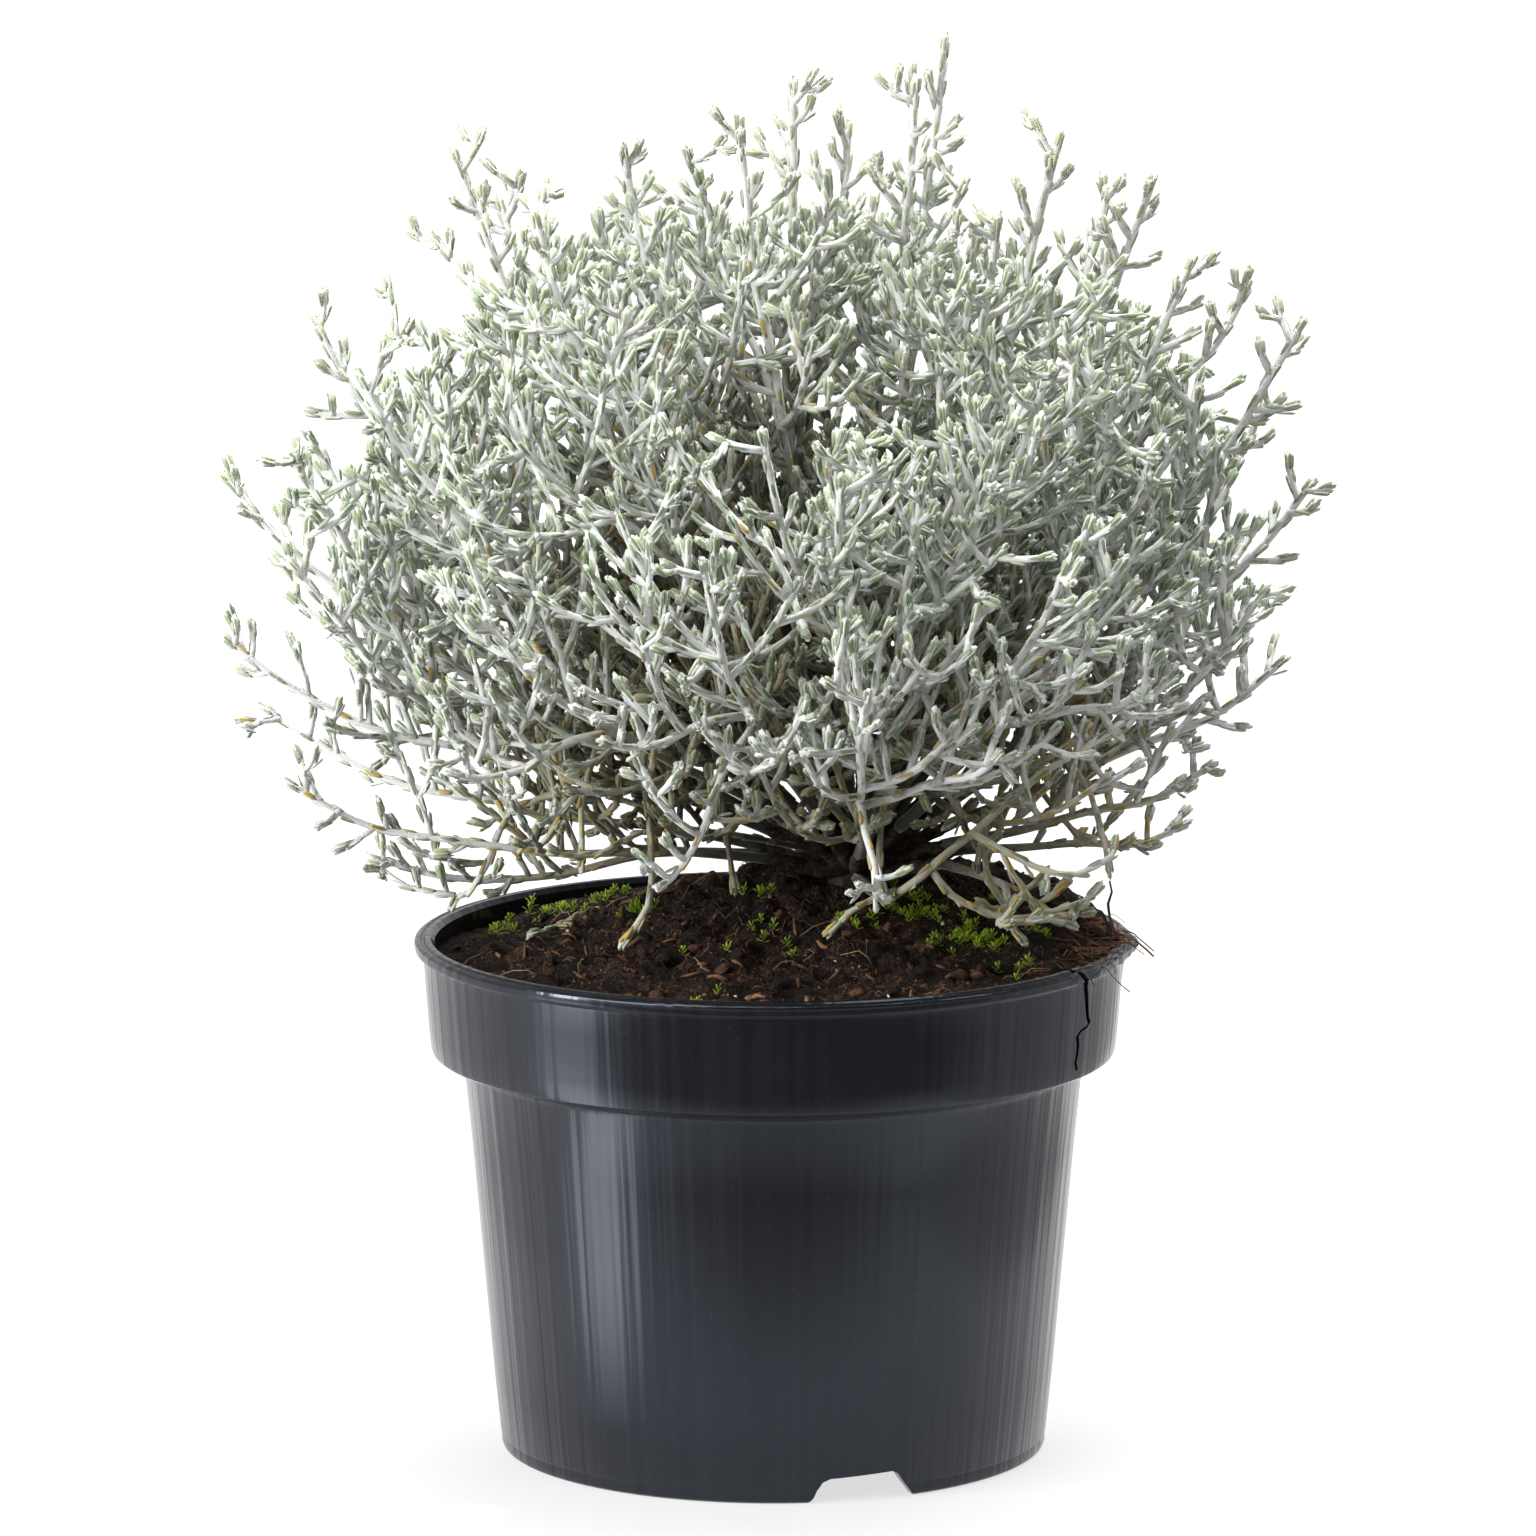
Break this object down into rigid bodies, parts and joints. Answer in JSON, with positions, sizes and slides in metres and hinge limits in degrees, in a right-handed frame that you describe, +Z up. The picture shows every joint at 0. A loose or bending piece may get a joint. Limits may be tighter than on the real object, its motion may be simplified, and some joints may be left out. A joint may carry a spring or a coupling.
{
  "type": "potted cushion bush",
  "caption": "Airy silver cushion bush with fine forked leafy twigs, growing from a woody crown in peat soil in a round black plastic nursery pot.",
  "frame": {"origin": "centre of the pot's foot, on the surface that it stands on", "axes": "+Z up along the pot's axis, -Y towards the viewer of the bush's best side, +X to the right"},
  "size_m": [0.2883, 0.2663, 0.3761],
  "materials": {
    "pot_plastic": "satin moulded",
    "peat_soil": "fibrous damp peat",
    "bark": "rough bark",
    "silver_leaf": "felted leaves"
  },
  "bodies": {
    "root": {"pot": "pot_plastic", "soil": "peat_soil", "woody_crown": "bark", "fallen_twig": "silver_leaf", "leafy_stem_01": "silver_leaf", "leafy_stem_02": "silver_leaf", "leafy_stem_03": "silver_leaf", "leafy_stem_04": "silver_leaf", "leafy_stem_05": "silver_leaf", "leafy_stem_06": "silver_leaf", "leafy_stem_07": "silver_leaf", "leafy_stem_08": "silver_leaf", "leafy_stem_09": "silver_leaf", "leafy_stem_10": "silver_leaf", "leafy_stem_11": "silver_leaf", "leafy_stem_12": "silver_leaf", "leafy_stem_13": "silver_leaf", "leafy_stem_14": "silver_leaf", "leafy_stem_15": "silver_leaf", "leafy_stem_16": "silver_leaf", "leafy_stem_17": "silver_leaf", "leafy_stem_18": "silver_leaf", "leafy_stem_19": "silver_leaf", "leafy_stem_20": "silver_leaf", "leafy_stem_21": "silver_leaf", "leafy_stem_22": "silver_leaf", "leafy_stem_23": "silver_leaf", "leafy_stem_24": "silver_leaf", "leafy_stem_25": "silver_leaf", "leafy_stem_26": "silver_leaf", "leafy_stem_27": "silver_leaf", "leafy_stem_28": "silver_leaf", "leafy_stem_29": "silver_leaf", "leafy_stem_30": "silver_leaf", "leafy_stem_31": "silver_leaf", "leafy_stem_32": "silver_leaf", "leafy_stem_33": "silver_leaf", "leafy_stem_34": "silver_leaf", "leafy_stem_35": "silver_leaf", "leafy_stem_36": "silver_leaf", "leafy_stem_37": "silver_leaf"}
  },
  "joints": []
}
